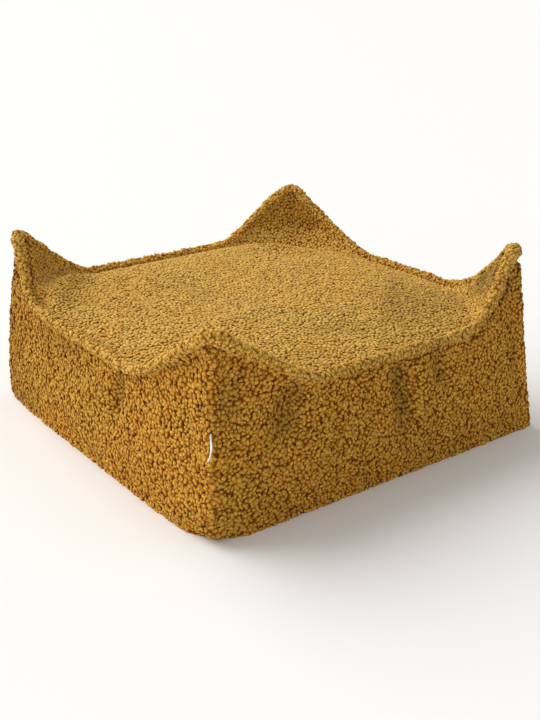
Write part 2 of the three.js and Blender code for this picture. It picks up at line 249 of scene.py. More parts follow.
# The roll's line all round: a share of the loop from 0 to 1, on a centripetal spline
def loopAt(share):
    count = len(loopPoints)
    place = (np.asarray(share, float) % 1) * count
    index = np.floor(place).astype(int) % count
    t = (place - np.floor(place))[..., None]
    p0, p1, p2, p3 = (loopPoints[(index + k) % count] for k in (-1, 0, 1, 2))
    d0, d1, d2 = (loopGaps[(index + k) % count][..., None] for k in (-1, 0, 1))
    slope1 = ((p1 - p0) / d0 - (p2 - p0) / (d0 + d1) + (p2 - p1) / d1) * d1
    slope2 = ((p2 - p1) / d1 - (p3 - p1) / (d1 + d2) + (p3 - p2) / d2) * d1
    square = 3 * (p2 - p1) - 2 * slope1 - slope2
    cube = 2 * (p1 - p2) + slope1 + slope2
    return p1 + slope1 * t + square * t**2 + cube * t**3


# The roll at an even place from -1 to 1 along a side
def rollAt(side, even):
    share = (side + (even + 1) / 2) / 4
    centre, nudge = loopAt(share), 1e-5
    onward = loopAt(share + nudge) - loopAt(share - nudge)
    onward /= np.linalg.norm(onward, axis=-1, keepdims=True)
    outward = np.stack([onward[..., 1], -onward[..., 0], np.zeros_like(share)], -1)
    outward /= np.linalg.norm(outward, axis=-1, keepdims=True)
    tip = loopAt((side + np.round((even + 1) / 2)) / 4)
    distance = np.linalg.norm(centre - tip, axis=-1)
    swollen = 1 - smoothStep(distance, 0, cover["swellReach"])
    near = 1 - smoothStep(distance, 0, cover["lipReach"])
    return {
        "centre": centre,
        "onward": onward,
        "outward": outward,
        "upward": np.cross(outward, onward),
        "radius": cover["rollRadius"] * mix(1, cover["tipSwell"], swollen),
        "lip": near * np.where(even < 0, ears[side]["lip"], ears[(side + 1) % 4]["lip"]),
    }


def edgeAt(edge, side, even):
    roll = rollAt(side, even)
    radiiOut, lipsOut, radiiDown, lipsDown = panelEdges[edge]
    out = (radiiOut * roll["radius"] + lipsOut * roll["lip"])[..., None]
    down = (radiiDown * roll["radius"] + lipsDown * roll["lip"])[..., None]
    return roll["centre"] + roll["outward"] * out - roll["upward"] * down


# A fold is turned from the second way towards the first
def depthOf(rows, first, second):
    depth = np.zeros_like(first)
    for foldFirst, foldSecond, length, width, turned, deep in rows:
        x, y, turn = first - foldFirst, second - foldSecond, math.radians(turned)
        across = (x * math.cos(turn) - y * math.sin(turn)) / width
        lengthwise = (x * math.sin(turn) + y * math.cos(turn)) / length
        depth += deep * np.exp(-(across**2) - lengthwise**2)
    return depth


def foldDepth(side, along, height):
    return depthOf([fold[1:] for fold in folds if fold[0] == sides[side]["name"]], along, height)


def seatFoldDepth(x, y):
    return depthOf([(fold[1], fold[0], *fold[2:]) for fold in seatFolds], y, x)


def cutBack(cut, lift, height):
    return cut * np.maximum(0, 1 - height / lift) ** 2


def sidePoint(side, even, rise):
    onward, outward = frameOf(side)
    first, second = ears[side], ears[(side + 1) % 4]
    place = crowded(even)
    share = (place + 1) / 2
    full = filled(place, cover["planFullness"])
    bow = 4 * rise
    firstOut, secondOut = (ear["footOut"] + ear["waist"] * bow for ear in (first, second))
    start, end = cornersOf(side, firstOut, secondOut)
    swell = cover["half"] + cover["belly"] * bow * (1 - rise)
    out = mix(mix(start[1], end[1], share), swell, full)
    foot = onSide(side, mix(start[0], end[0], share), out, np.zeros_like(place))
    point = mix(foot, edgeAt("side", side, even), rise[..., None])
    along = point @ onward
    below = 1 - smoothStep(rise, cover["foldTop"], 1)
    point -= outward * (foldDepth(side, along, point[..., 2]) * below * full)[..., None]
    for ear, way in ((first, 1), (second, -1)):
        near = np.maximum(0, 1 - (cover["half"] + way * along) / cover["cornerReach"]) ** 2
        cut = cutBack(ear["footCut"], ear["footLift"], point[..., 2]) * near * diagonal
        point += cut[..., None] * (way * onward - outward)
    return point - outward * (cutBack(cover["edgeCut"], cover["edgeLift"], point[..., 2]) * full)[..., None]


def seatHeight(x, y):
    rim = rimCentre - panelEdges["top"][2] * cover["rollRadius"]
    crown = filled(x, cover["crownFullness"]) * filled(y, cover["crownFullness"])
    height = rim + (cover["crownHeight"] - rim) * crown
    for corner, ear in enumerate(ears):
        hollow = ear["hollow"]
        turnedX, turnedY = [(x, y), (y, -x), (-x, -y), (-y, x)][corner]
        tip = ear["tipOut"] * diagonal
        beside, behind = (1 + turnedX) * tip, (1 + turnedY) * tip
        distance = (beside**hollow + behind**hollow) ** (1 / hollow)
        turn = np.arctan2(behind, beside) / (math.pi / 2)
        before, after = sides[(corner + 3) % 4]["end"], sides[corner]["start"]
        share = mix(flankShare(after, distance), flankShare(before, distance), turn)
        reach = ear["valleyAt"] * mix(after[0], before[0], turn)
        valley = np.exp(-(((distance - reach) / cover["valleyWidth"]) ** 2))
        height = height + earHeight(ear) * share
        height = height - ear["valley"] * valley * np.sin(math.pi * turn) ** 2
    towardsLeft = ((1 - x) / 2) ** cover["sagFade"]
    return height - sides[3]["sag"] * towardsLeft * filled(y, cover["planFullness"])


def meshOf(bm, name):
    bmesh.ops.recalc_face_normals(bm, faces=bm.faces)
    mesh = bpy.data.meshes.new(name)
    bm.to_mesh(mesh)
    bm.free()
    mesh.polygons.foreach_set("use_smooth", [True] * len(mesh.polygons))
    return mesh


def pieceOf(mesh, name):
    piece = bpy.data.objects.new(name, mesh)
    bpy.context.scene.collection.objects.link(piece)
    return piece


def applied(piece):
    graph = bpy.context.evaluated_depsgraph_get()
    mesh = bpy.data.meshes.new_from_object(
        piece.evaluated_get(graph), preserve_all_data_layers=True, depsgraph=graph
    )
    piece.modifiers.clear()
    piece.data = mesh
    return mesh


# All values of one kind, in rows of so many
def read(data, key, width=1, kind=np.float32):
    values = np.zeros(len(data) * width, kind)
    data.foreach_get(key, values)
    return values.reshape(-1, width) if width > 1 else values


def vectorsOf(mesh, name="position"):
    return read(mesh.attributes[name].data, "vector", 3).astype(float)


def normalsOf(mesh):
    return read(mesh.vertex_normals, "vector", 3).astype(float)


def movePoints(mesh, points):
    mesh.vertices.foreach_set("co", points.astype(np.float32).ravel())
    mesh.update()


def keep(mesh, name, values):
    kind, key = ("FLOAT_VECTOR", "vector") if values.ndim == 2 else ("FLOAT", "value")
    if name in mesh.attributes:
        mesh.attributes.remove(mesh.attributes[name])
    mesh.attributes.new(name, kind, "POINT").data.foreach_set(key, values.astype(np.float32).ravel())


# Takes away what only the making needed
def forget(mesh, *names):
    for name in names:
        while name in mesh.attributes:
            mesh.attributes.remove(mesh.attributes[name])


# Lays a mesh out flat for baking, given a place, two numbers from 0 to 1, for each corner of each face
def layOut(mesh, places):
    layer = mesh.uv_layers.new(name="OFBake", do_init=False)
    layer.uv.foreach_set("vector", places.astype(np.float32).ravel())


# For each corner of each face, its point and its face
def cornersOfFaces(mesh):
    sizes = read(mesh.polygons, "loop_total", kind=np.int32)
    return read(mesh.loops, "vertex_index", kind=np.int32), np.repeat(np.arange(len(sizes)), sizes)


# How curls are laid out flat, in shares of the whole
flatMap = {
    "hidden": 0.4,  # a curl's faces up to this rise are hidden by the next curls
    "margin": 0.02,
    "wrap": 0.1,  # left free beside a roll, for faces that lie across its beginning
}


# Faces down between the curls go to a small corner, out of the way of those that show
def tuckAway(mesh, places):
    points, faces = cornersOfFaces(mesh)
    highest = np.zeros(len(mesh.polygons))
    np.maximum.at(highest, faces, read(mesh.attributes["rise"].data, "value")[points])
    hidden = highest[faces] < flatMap["hidden"]
    places = flatMap["margin"] + (1 - 2 * flatMap["margin"]) * places
    places[hidden] *= flatMap["margin"] / 2
    return places


# The cloth below the pile: a divided box whose points are moved on to the panels
ground = {
    "across": 66,
    "upright": 22,
    "below": 2.8,  # under the pile's mean height, where the solid's face is
    "seamDepth": 1.5,
    "seamWidth": 2.6,
    "seamRidge": 0.9,  # the turned-in cloth behind a seam holds its edges up
    "ridgeAway": 6,
    "foldPaintedShade": 0.3,  # painted shade in a fold, at most this much darker
    "foldFull": 12,
    "cornerShare": 0.75,  # of the way to a corner, where painted shade on the cloth below an ear begins
    "crowding": 1.1,  # moves the rows of points towards the base
    "crease": 0.8,  # of the seams, where 1 stays sharp
    "seamSamples": 120,
    "footFade": 6,  # above the floor and beside the roll, where it isn't so far below
    "rollFade": 5,
}

# How its panels are laid out flat: left, bottom, width and height
groundMap = [(0.51, 0.01 + 0.245 * side, 0.48, 0.22) for side in range(4)]
groundMap += [(0.01, 0.01, 0.47, 0.47), (0.01, 0.51, 0.47, 0.47)]


# Panels are numbered as the sides are, then 4 for the top and 5 for the base
def panelsOf(middles):
    axis = np.abs(middles).argmax(1)
    onward = np.take_along_axis(middles, axis[:, None], 1)[:, 0] > 0
    return axis, np.array([[3, 1], [0, 2], [5, 4]])[axis, onward.astype(int)]


def onPanels(places):
    x, y, z = places.T
    low, high = -boxEdge, boxEdge
    walls = [(y < low, x), (x > high, y), (y > high, -x), (x < low, -y)]
    onWall = np.abs(places[:, :2]).max(1) > boxEdge
    points = np.zeros_like(places)
    for side, (on, even) in enumerate(walls):
        points[on] = sidePoint(side, even[on], ((z[on] + 1) / 2) ** ground["crowding"])

    inner = (z < low) & ~onWall
    x2, y2, floor = x[inner], y[inner], np.zeros(inner.sum())
    spreadX, spreadY = (crowded(x2) + 1) / 2, (crowded(y2) + 1) / 2
    points[inner] = np.stack([
        mix(sidePoint(3, -y2, floor)[:, 0], sidePoint(1, y2, floor)[:, 0], spreadX),
        mix(sidePoint(0, x2, floor)[:, 1], sidePoint(2, -x2, floor)[:, 1], spreadY),
        floor,
    ], -1)

    inner = (z > high) & ~onWall
    stretch = ground["across"] / (ground["across"] - 2)  # the ring beside the walls lies along the roll
    x2, y2 = x[inner] * stretch, y[inner] * stretch
    front, right, back, left = (edgeAt("top", side, even) for side, even in enumerate((x2, y2, -x2, -y2)))
    placeX, placeY = crowded(x2), crowded(y2)
    seatX = mix(left[:, 0], right[:, 0], (placeX + 1) / 2)
    seatY = mix(front[:, 1], back[:, 1], (placeY + 1) / 2)
    folded = seatFoldDepth(seatX, seatY)
    folded = folded * filled(placeX, cover["foldEdge"]) * filled(placeY, cover["foldEdge"])
    seat = np.stack([seatX, seatY, seatHeight(placeX, placeY) - folded], -1)
    for edge, on in ((left, x2 < low), (back, y2 > high), (right, x2 > high), (front, y2 < low)):
        seat[on] = edge[on]
    points[inner] = seat
    return points


def layOutGround(bm):
    uv = bm.loops.layers.uv.new("OFBake")
    axes, panels = panelsOf(np.array([face.calc_center_median() for face in bm.faces]))
    for face, axis, panel in zip(bm.faces, axes, panels):
        left, bottom, width, height = groundMap[panel]
        for loop in face.loops:
            x, y, z = ((1 + loop.vert.co[k]) / 2 for k in range(3))
            across, along = ((y, z), (x, z), (x, y))[axis]
            loop[uv].uv = (left + width * across, bottom + height * along)


def makeGround():
    bm = bmesh.new()
    bmesh.ops.create_cube(bm, size=2)
    for axis, cells in enumerate((ground["across"], ground["across"], ground["upright"])):
        edges = [e for e in bm.edges if abs((e.verts[0].co - e.verts[1].co)[axis]) > 1 - boxEdge]
        bmesh.ops.subdivide_edges(bm, edges=edges, cuts=cells - 1, use_grid_fill=True)
    places = np.array([v.co for v in bm.verts])
    crease = bm.edges.layers.float.new("crease_edge")
    for edge in bm.edges:
        first, second = (v.co for v in edge.verts)
        faces = sum(abs(first[k]) > boxEdge and abs(second[k] - first[k]) < 1 - boxEdge for k in range(3))
        if faces > 1:
            edge[crease] = 1 if first.z < -boxEdge and second.z < -boxEdge else ground["crease"]
    layOutGround(bm)
    points = onPanels(places)
    mesh = meshOf(bm, "pouf_cover")
    movePoints(mesh, points * mm)
    keep(mesh, "boxPlace", places)
    return pieceOf(mesh, "pouf_cover")


cloth = makeGround()
print("ground", len(cloth.data.vertices), "points", [round(v, 4) for v in cloth.dimensions])


# The beads press the cloth outwards between the seams, and it creases a little where it is slack
settling = {
    "cloth": {
        "use_pressure": True,
        "uniform_pressure_force": 4,
        "shrink_min": -0.012,  # the cloth is cut so much larger than its form
        "tension_stiffness": 30,
        "compression_stiffness": 30,
        "bending_stiffness": 3,
        "quality": 6,
        "vertex_group_mass": "held",
    },
    "frames": 20,
    "start": 3,  # it starts so far in, away from the seams
    "most": 3,
    "swell": 1.6,  # taken off again, so that the outline stays
    "rim": 3,  # rows beside the roll that hold still
    "free": (8, 4),  # how near its seams the cloth moves, along and up a panel
}


def settle(piece):
    mesh = piece.data
    places, form = vectorsOf(mesh, "boxPlace"), vectorsOf(mesh)
    onTop = places[:, 2] > boxEdge
    held = ((np.abs(places) > boxEdge).sum(1) > 1) | (places[:, 2] < -boxEdge)
    held |= onTop & (np.abs(places[:, :2]).max(1) > 1 - settling["rim"] / ground["across"])
    along, upright = settling["free"]
    free = filled(places[:, 0], along) * filled(places[:, 1], along)
    onSides = filled(np.abs(places[:, :2]).min(1), along) * filled(places[:, 2], upright)
    free = np.where(onTop, free, onSides)
    outward = normalsOf(mesh) * (np.where(held, 0, free) * mm)[:, None]
    movePoints(mesh, form - settling["start"] * outward)
    group = piece.vertex_groups.new(name="held")
    group.add([int(i) for i in np.flatnonzero(held)], 1, "REPLACE")
    modifier = piece.modifiers.new("settle", "CLOTH")
    for name, value in settling["cloth"].items():
        setattr(modifier.settings, name, value)
    modifier.settings.effector_weights.gravity = 0
    modifier.point_cache.frame_start = 1
    modifier.point_cache.frame_end = settling["frames"]
    for frameNumber in range(1, settling["frames"] + 1):
        bpy.context.scene.frame_set(frameNumber)
    moved = vectorsOf(applied(piece)) - form
    bpy.context.scene.frame_set(1)
    piece.vertex_groups.clear()
    length = np.linalg.norm(moved, axis=1)
    mean, greatest = float(length.mean() / mm), float(length.max() / mm)
    most, nothing = settling["most"] * mm, 1e-9
    moved *= (most * np.tanh(length / most) / np.maximum(length, nothing))[:, None]
    movePoints(piece.data, form + moved - settling["swell"] * outward)
    print("settled by", round(mean, 2), "mm, at most", round(greatest, 1))


settle(cloth)


def nearestTo(points, line):
    tree = KDTree(len(line))
    for index, point in enumerate(line):
        tree.insert(point, index)
    tree.balance()
    return np.array([tree.find(p)[1:] for p in points])


# The roll of each side, at places close together
evenPlaces = np.linspace(-1, 1, 600)
rollLines = [rollAt(side, evenPlaces) for side in range(4)]


# How far points are from the corner seams and from the roll
def distancesOf(points, onTop):
    rise = np.linspace(0, 1, ground["seamSamples"])
    seams = np.concatenate([sidePoint(side, np.full_like(rise, -1), rise) for side in range(4)])
    fromSeam = nearestTo(points, seams)[:, 1]
    fromSeam[onTop] = far
    nearRoll = nearestTo(points, np.concatenate([line["centre"] for line in rollLines]))
    radius = np.concatenate([line["radius"] for line in rollLines])
    return fromSeam, nearRoll[:, 1] - radius[nearRoll[:, 0].astype(int)]


# Painted shade, and painted light where it is below 0: how much darker and how much more deeply coloured the
# cloth is
def paintedShadeOf(points, places, onTop):
    shade, deeper = np.zeros(len(points)), np.zeros(len(points))
    for side in range(4):
        onward, outward = frameOf(side)
        on = (places @ outward > boxEdge) & ~onTop
        shade[on] = foldDepth(side, points[on] @ onward, points[on, 2])
    shade[onTop] = seatFoldDepth(points[onTop, 0], points[onTop, 1])
    shade = ground["foldPaintedShade"] * smoothStep(shade, 0, ground["foldFull"])
    for corner, ear in enumerate(ears):
        out = points @ cornerOutward(corner)
        darker, depth, low, high = ear["inside"]
        # painted shade inside an ear and on the sides below it
        inside = (onTop & (out > ear["tipOut"] / 2)) * smoothStep(points[:, 2], low, high)
        below = ~onTop * smoothStep(out, ear["footOut"] * ground["cornerShare"], ear["footOut"])
        shade += darker * inside
        shade += ear["outside"] * below
        deeper += depth * inside
    # painted light and shade in round patches on the seat
    for x, y, reach, share in paintedLightPatches:
        away = np.hypot(points[:, 0] - x, points[:, 1] - y) / reach
        shade += share * onTop * np.exp(-(away**2))
    return shade, deeper


def finishGround(piece):
    modifier = piece.modifiers.new("rounding", "SUBSURF")
    modifier.levels = modifier.render_levels = 1
    modifier.use_limit_surface = False
    mesh = applied(piece)
    places, points = vectorsOf(mesh, "boxPlace"), vectorsOf(mesh) / mm
    onTop = places[:, 2] > boxEdge
    fromSeam, fromRoll = distancesOf(points, onTop)
    shade, deeper = paintedShadeOf(points, places, onTop)
    keep(mesh, "fromSeam", fromSeam)
    keep(mesh, "fromRoll", fromRoll)
    keep(mesh, "shade", shade)
    keep(mesh, "deeper", deeper)
    panels = panelsOf(places[cornersOfFaces(mesh)[0].reshape(-1, 4)].mean(1))[1]
    mesh.attributes.new("panel", "INT", "FACE").data.foreach_set("value", panels.astype(np.int32))

    groove = ground["seamDepth"] * np.exp(-((fromSeam / ground["seamWidth"]) ** 2))
    groove -= ground["seamRidge"] * np.exp(-(((fromSeam - ground["ridgeAway"]) / ground["seamWidth"]) ** 2))
    sunk = ground["below"] * smoothStep(points[:, 2], 0, ground["footFade"]) + groove
    sunk *= smoothStep(fromRoll, 0, ground["rollFade"])
    sunk[places[:, 2] < -boxEdge] = 0
    moved = points - normalsOf(mesh) * sunk[:, None]
    moved[:, 2] = np.maximum(moved[:, 2], 0)
    movePoints(mesh, moved * mm)


# Points are scattered face by face, so the faces are put in no order, or the curls would stand in rows
def shuffleFaces(mesh, seed):
    bm = bmesh.new()
    bm.from_mesh(mesh)
    order = np.random.default_rng(seed).permutation(len(bm.faces))
    bm.faces.ensure_lookup_table()
    bm.faces.sort(key=lambda face: order[face.index])
    bm.to_mesh(mesh)
    bm.free()


finishGround(cloth)
shuffleFaces(cloth.data, 3)
print("cover", len(cloth.data.polygons), "faces")


# A new node, or one output of it
def addNode(tree, kind, inputs=None, output=None, **settings):
    node = tree.nodes.new(kind)
    for name, value in settings.items():
        setattr(node, name, value)
    for name, value in (inputs or {}).items():
        if isinstance(value, bpy.types.NodeSocket):
            tree.links.new(value, node.inputs[name])
        else:
            node.inputs[name].default_value = value
    return node if output is None else node.outputs[output]


def mapRange(tree, value, low, high, first=0.0, last=1.0, kind="LINEAR"):
    inputs = {"Value": value, "From Min": low, "From Max": high, "To Min": first, "To Max": last}
    return addNode(tree, "ShaderNodeMapRange", inputs, "Result", interpolation_type=kind)


def mathNode(tree, operation, *values):
    return addNode(tree, "ShaderNodeMath", dict(enumerate(values)), 0, operation=operation)


def vectorNode(tree, operation, first, second):
    inputs = {0: first, "Scale" if operation == "SCALE" else 1: second}
    return addNode(tree, "ShaderNodeVectorMath", inputs, "Vector", operation=operation)


# A curl of pile is a low dome, lumpy and a little different each time. The curls stand into each other,
# so that they meet in straight crevices.
curl = {
    "profile": {1.0: (1.0, 0), 0.5: (0.74, 0.68), -0.5: (0, 1.0), -1.0: (-0.3, 0)},  # height and width
    "kinds": 8,
    "uneven": 0.24,  # in width
    "unevenHeight": 0.12,
    "push": 0.5,  # of what the gap between two curls lacks, for each
    "gap": (0.7, 1.1),  # in even gaps, from the narrowest curl to the widest
    "fit": (0.8, 1.1),
    "pressedFrom": 2.0,  # from the roll, where curls are lowest
    "pressedHeight": 0.4,
}


def makeCurls(name, around, seed):
    chance = np.random.default_rng(seed)
    kinds = bpy.data.collections.new(name)
    for number in range(curl["kinds"]):
        bm = bmesh.new()
        bmesh.ops.create_uvsphere(bm, u_segments=around, v_segments=3, radius=1)
        rise = bm.verts.layers.float.new("rise")
        for vert in bm.verts:
            height, width = curl["profile"][min(curl["profile"], key=lambda z: abs(z - vert.co.z))]
            flat = vert.co.xy.normalized() if width else vert.co.xy * 0
            flat *= width * (1 + curl["uneven"] * chance.standard_normal())
            height += curl["unevenHeight"] * chance.standard_normal()
            vert[rise] = min(1, max(0, height))
            vert.co = (flat.x, flat.y, height)
        kinds.objects.link(bpy.data.objects.new(f"{name}_{number}", meshOf(bm, name)))
    return kinds


def attributeOf(tree, name, kind="FLOAT"):
    return addNode(tree, "GeometryNodeInputNamedAttribute", {"Name": name}, "Attribute", data_type=kind)


def setPosition(tree, points, name, value):
    return addNode(tree, "GeometryNodeSetPosition", {"Geometry": points, name: value}, "Geometry")


# Each kind of value has sockets of its own
def randomValue(tree, kind, least, most, seed):
    place = ("FLOAT_VECTOR", "FLOAT", "INT").index(kind)
    inputs = {2 * place: least, 2 * place + 1: most, "Seed": seed}
    return addNode(tree, "FunctionNodeRandomValue", inputs, place, data_type=kind)


# Takes away the faces or points for which a comparison is true
def without(tree, geometry, domain, value, comparison, limit, kind="FLOAT"):
    place = 2 if kind == "INT" else 0
    inputs = {place: value, place + 1: limit}
    picked = addNode(tree, "FunctionNodeCompare", inputs, "Result", data_type=kind, operation=comparison)
    inputs = {"Geometry": geometry, "Selection": picked}
    return addNode(tree, "GeometryNodeDeleteGeometry", inputs, "Geometry", domain=domain)


# From each point to the next one: the way and how far
def toNext(tree, points):
    place = addNode(tree, "GeometryNodeInputPosition", {}, "Position")
    nearest = addNode(tree, "GeometryNodeIndexOfNearest", {}, "Index")
    inputs = {"Geometry": points, "Value": place, "Index": nearest}
    other = addNode(tree, "GeometryNodeSampleIndex", inputs, "Value", data_type="FLOAT_VECTOR")
    away = vectorNode(tree, "SUBTRACT", place, other)
    return away, addNode(tree, "ShaderNodeVectorMath", {0: away}, "Value", operation="LENGTH")


def bedOf(tree, under, pile, panel):
    bed = addNode(tree, "GeometryNodeObjectInfo", {"Object": under}, "Geometry")
    bed = without(tree, bed, "FACE", attributeOf(tree, "panel", "INT"), "NOT_EQUAL", panel, "INT")
    for name, least in pile["clear"].items():
        bed = without(tree, bed, "FACE", attributeOf(tree, name), "LESS_THAN", least)
    return bed


# Pushes points apart along their bed until they stand evenly
def spread(tree, points, bed, pile):
    for turn in range(pile["turns"]):
        away, gap = toNext(tree, points)
        push = mapRange(tree, gap, 0.0, pile["even"] * mm, curl["push"], 0.0)
        points = setPosition(tree, points, "Offset", vectorNode(tree, "SCALE", away, push))
        back = addNode(tree, "GeometryNodeProximity", {0: bed}, "Position", target_element="FACES")
        points = setPosition(tree, points, "Position", back)
    return points


# A curl is as wide as fits between the next ones, and lower beside the roll
def sizeOf(tree, points, pile, seed):
    least, most = ((width * mm / 2, width * mm / 2, height * mm)
                   for width, height in zip(pile["width"], pile["height"]))
    size = randomValue(tree, "FLOAT_VECTOR", least, most, seed)
    low, high = (share * pile["even"] * mm for share in curl["gap"])
    fit = mapRange(tree, toNext(tree, points)[1], low, high, *curl["fit"])
    lower = mapRange(tree, attributeOf(tree, "fromRoll"), curl["pressedFrom"], pile["pressed"],
                     curl["pressedHeight"], 1.0, "SMOOTHSTEP")
    return vectorNode(tree, "MULTIPLY", size,
                      addNode(tree, "ShaderNodeCombineXYZ", {"X": fit, "Y": fit, "Z": lower}, 0))


def turnOf(tree, upright, pile, seed):
    lean = pile["lean"]
    turned = randomValue(tree, "FLOAT_VECTOR", (-lean, -lean, 0), (lean, lean, 2 * math.pi), seed)
    turned = addNode(tree, "FunctionNodeEulerToRotation", {"Euler": turned}, 0)
    inputs = {"Rotation": upright, "Rotate By": turned}
    return addNode(tree, "FunctionNodeRotateRotation", inputs, "Rotation", rotation_space="LOCAL")


# Curls all over one panel, or over its half to the left or right, where half is -1 or 1
def growPile(name, under, kinds, pile, panel=0, seed=0, half=0):
    tree = bpy.data.node_groups.new(name, "GeometryNodeTree")
    tree.interface.new_socket("Geometry", in_out="OUTPUT", socket_type="NodeSocketGeometry")
    bed = bedOf(tree, under, pile, panel)
    inputs = {"Mesh": bed, "Distance Min": pile["apart"] * mm, "Density Max": pile["tries"], "Seed": seed}
    scattered = addNode(tree, "GeometryNodeDistributePointsOnFaces", inputs, distribute_method="POISSON")
    points = spread(tree, scattered.outputs["Points"], bed, pile)
    if half:
        place = addNode(tree, "GeometryNodeInputPosition", {}, "Position")
        across = addNode(tree, "ShaderNodeSeparateXYZ", {"Vector": place}, "X")
        points = without(tree, points, "POINT", across, "GREATER_EQUAL" if half < 0 else "LESS_THAN", 0.0)
    size = sizeOf(tree, points, pile, seed + 3)
    stray = pile["stray"] * mm
    aside = randomValue(tree, "FLOAT_VECTOR", (-stray,) * 3, (stray,) * 3, seed + 5)
    points = setPosition(tree, points, "Offset", aside)
    tone = randomValue(tree, "FLOAT", 0.0, 1.0, seed + 1)
    inputs = {"Geometry": points, "Name": "tone", "Value": tone}
    points = addNode(tree, "GeometryNodeStoreNamedAttribute", inputs, "Geometry", data_type="FLOAT")
    inputs = {"Collection": kinds, "Separate Children": True, "Reset Children": True}
    curls = addNode(tree, "GeometryNodeInstanceOnPoints", {
        "Points": points,
        "Instance": addNode(tree, "GeometryNodeCollectionInfo", inputs, "Instances"),
        "Pick Instance": True,
        "Instance Index": randomValue(tree, "INT", 0, curl["kinds"] - 1, seed + 4),
        "Rotation": turnOf(tree, scattered.outputs["Rotation"], pile, seed + 2),
        "Scale": size,
    }, "Instances")
    real = addNode(tree, "GeometryNodeRealizeInstances", {"Geometry": curls}, "Geometry")
    addNode(tree, "NodeGroupOutput", {"Geometry": real})
    piece = pieceOf(bpy.data.meshes.new(name), name)
    piece.modifiers.new("curls", "NODES").node_group = tree
    mesh = applied(piece)
    points = vectorsOf(mesh)
    points[:, 2] = np.maximum(points[:, 2], 0)
    movePoints(mesh, points)
    forget(mesh, "fromRoll", "fromSeam", "panel", "boxPlace", "id", "OFBake")
    return piece


# A side's pile is laid out as seen from the front, and the top's as seen from above
def layOutPile(piece, panel):
    mesh = piece.data
    points = vectorsOf(mesh)
    onward = frameOf(panel)[0] if panel < 4 else np.array([1.0, 0.0, 0.0])
    places = np.stack([points @ onward, points[:, 2] if panel < 4 else points[:, 1]], 1)
    places = (places - places.min(0)) / np.ptp(places, 0)
    layOut(mesh, tuckAway(mesh, places[cornersOfFaces(mesh)[0]]))


# A roll is laid out by its length and the way round it
def layOutRoll(piece, side):
    mesh, line = piece.data, rollLines[side]
    points = vectorsOf(mesh) / mm
    nearest = nearestTo(points, line["centre"])[:, 0].astype(int)
    away = points - line["centre"][nearest]
    angle = np.arctan2((away * line["upward"][nearest]).sum(1), (away * line["outward"][nearest]).sum(1))
    corners, faces = cornersOfFaces(mesh)
    first = np.concatenate([[0], np.flatnonzero(np.diff(faces)) + 1])[faces]
    turn = angle[corners] - angle[corners][first]
    turn = angle[corners][first] + (turn + math.pi) % (2 * math.pi) - math.pi
    around = 0.5 + turn / (2 * math.pi) * (1 - 2 * flatMap["wrap"])
    places = np.stack([(evenPlaces[nearest[corners]] + 1) / 2, np.clip(around, 0, 1)], 1)
    layOut(mesh, tuckAway(mesh, places))


# The pile's curls, with sizes in millimetres
sidePile = {
    "apart": 4.3,  # at least, as they are scattered
    "even": 5.5,  # pushed apart to this
    "turns": 4,
    "tries": 1500000,  # a square metre
    "stray": 1.3,  # and then moved at random
    "clear": {"fromSeam": 2.0, "fromRoll": 1.0},  # of the corner seams and of the roll
    "pressed": 16,  # up to this far from the roll they lie flatter
    "lean": 0.2,
    "width": (7.6, 12.4),
    "height": (2.6, 3.9),
}
topPile = {
    "apart": 4.3,
    "even": 5.7,
    "turns": 6,
    "tries": 1500000,
    "stray": 0.6,
    "clear": {"fromRoll": 1.2},
    "pressed": 8,
    "lean": 0.16,
    "width": (7.2, 10.6),
    "height": (1.9, 3.0),
}
rollPile = {
    "apart": 3.7,
    "even": 4.6,
    "turns": 3,
    "tries": 2500000,
    "stray": 0.9,
    "clear": {},
    "pressed": 4,
    "lean": 0.4,
    "width": (6.6, 9.6),
    "height": (1.7, 4.4),
}
roundCurls = makeCurls("roundCurls", 6, 1)
flatCurls = makeCurls("flatCurls", 5, 2)

piles = [growPile(f"pile_{side['name']}", cloth, roundCurls, sidePile, number, 10 * number)
         for number, side in enumerate(sides)]
piles.append(growPile("pile_top_left", cloth, flatCurls, topPile, 4, 40, -1))
piles.append(growPile("pile_top_right", cloth, flatCurls, topPile, 4, 40, 1))
for panel, pile in enumerate(piles):
    layOutPile(pile, panel)
print("pile", {pile.name: len(pile.data.vertices) for pile in piles})


# The roll of cloth along the top seam, a thin tube that curls grow out of all round
rollTube = {
    "around": 14,
    "rings": 150,
    "below": 1.8,  # under the pile's mean height
    "uneven": 1.4,
    "lump": 16,
    "gap": 0.3,  # from one length of roll to the next
}


def makeRoll(side):
    name = f"roll_{sides[side]['name']}_tube"
    bm = bmesh.new()
    bmesh.ops.create_cone(bm, cap_ends=True, cap_tris=True, segments=rollTube["around"],
                          radius1=1, radius2=1, depth=2)
    lengthwise = [e for e in bm.edges if abs(e.verts[0].co.z - e.verts[1].co.z) > 1]
    bmesh.ops.subdivide_edges(bm, edges=lengthwise, cuts=rollTube["rings"] - 1, use_grid_fill=True)
    places = np.array([v.co for v in bm.verts])
    at = rollAt(side, places[:, 2])
    ends = (places[:, 2] < -boxEdge).astype(int) - (places[:, 2] > boxEdge)
    trim = rollTube["gap"] / 2 * ends
    centre = at["centre"] + at["onward"] * trim[:, None]
    uneven = np.array([noise.noise(Vector(c / rollTube["lump"])) for c in centre])
    radius = at["radius"] - rollTube["below"] + rollTube["uneven"] * uneven
    points = centre + (places[:, 0] * radius)[:, None] * at["outward"]
    points -= (places[:, 1] * radius)[:, None] * at["upward"]
    mesh = meshOf(bm, name)
    movePoints(mesh, points * mm)
    keep(mesh, "boxPlace", places)
    keep(mesh, "fromRoll", np.full(len(places), far))
    # painted shade along the roll, and painted light where it is below 0
    keep(mesh, "shade", np.interp(places[:, 2], (-1, 0, 1), sides[side]["shade"]))
    mesh.attributes.new("panel", "INT", "FACE")
    shuffleFaces(mesh, 4)
    return pieceOf(mesh, name)


